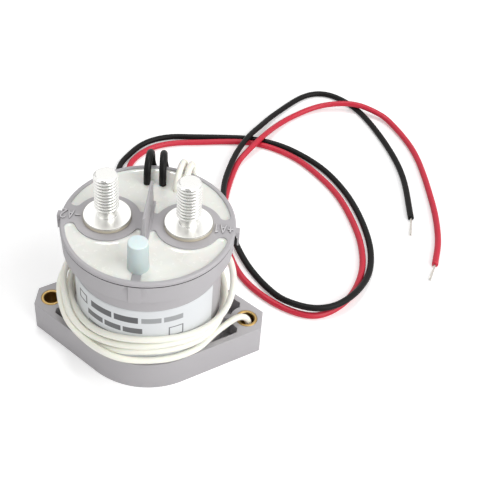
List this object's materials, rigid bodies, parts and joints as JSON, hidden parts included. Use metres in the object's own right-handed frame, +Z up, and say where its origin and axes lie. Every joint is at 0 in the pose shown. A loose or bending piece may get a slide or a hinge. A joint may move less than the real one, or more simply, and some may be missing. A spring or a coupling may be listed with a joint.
{
  "type": "high voltage dc contactor",
  "caption": "Sealed high voltage dc contactor: grey moulded cup on an eared base, potted top with studs, capped tube and coil leads",
  "frame": {"origin": "middle of the base's underside, on the body's axis", "axes": "+X along the two ears and the two power studs, towards the right ear; +Y from the capped tube towards the leads; +Z up, out of the base along the studs"},
  "size_m": [0.1746, 0.216, 0.0856],
  "materials": {
    "grey_plastic": "fine moulded texture",
    "brass": "turned",
    "resin": "glossy potting resin",
    "plated_copper": "bright plated",
    "copper": "plain copper",
    "cap_vinyl": "satin vinyl",
    "label_film": "satin film",
    "black_jacket": "satin insulation",
    "red_jacket": "satin insulation",
    "white_jacket": "satin insulation",
    "tinned_wire": "tinned strands",
    "ceramic": "unglazed",
    "magnet": "sintered",
    "spring_steel": "ground",
    "soft_iron": "plated",
    "bobbin_plastic": "moulded",
    "pad_rubber": "moulded",
    "reed_glass": "clear green"
  },
  "bodies": {
    "frame": {"housing": "grey_plastic", "bushing_left": "brass", "bushing_right": "brass", "top_cover": "grey_plastic", "potting": "resin", "terminal_left": "plated_copper", "terminal_right": "plated_copper", "fill_tube": "copper", "tube_cap": "cap_vinyl", "label": "label_film", "lead_sleeves": "black_jacket", "coil_lead_black": "black_jacket", "coil_lead_red": "red_jacket", "coil_lead_tips": "tinned_wire", "aux_lead_drops": "white_jacket", "aux_lead_coil": "white_jacket", "aux_lead_tail": "white_jacket", "header": "ceramic", "arc_chamber": "ceramic", "blowout_magnet_front": "magnet", "blowout_magnet_rear": "magnet", "return_spring": "spring_steel", "fixed_core": "soft_iron", "guide_sleeve": "brass", "coil_bobbin": "bobbin_plastic", "coil_winding": "copper", "yoke_cup": "soft_iron", "yoke_plate": "soft_iron", "bumper_pad": "pad_rubber", "reed_holder": "bobbin_plastic", "reed_switch": "reed_glass"},
    "armature": {"plunger": "soft_iron", "shaft": "spring_steel", "spring_seat": "spring_steel", "retaining_clip": "spring_steel", "contact_spring": "spring_steel"},
    "bridge": {"contact_bridge": "copper"}
  },
  "joints": [
    {"name": "plunger_lift", "type": "slide", "parent": "frame", "child": "armature", "axis": [0, 0, 1], "range_m": [0, 0.002], "stiffness_N_per_m": 400, "springref_m": -0.002, "deforming": ["return_spring"]},
    {"name": "bridge_overtravel", "type": "slide", "parent": "armature", "child": "bridge", "axis": [0, 0, 1], "range_m": [-0.0005, 0], "deforming": ["contact_spring"]}
  ],
  "couplings": [
    {"joint": "bridge_overtravel", "follows": "plunger_lift", "ratio": -0.25}
  ]
}
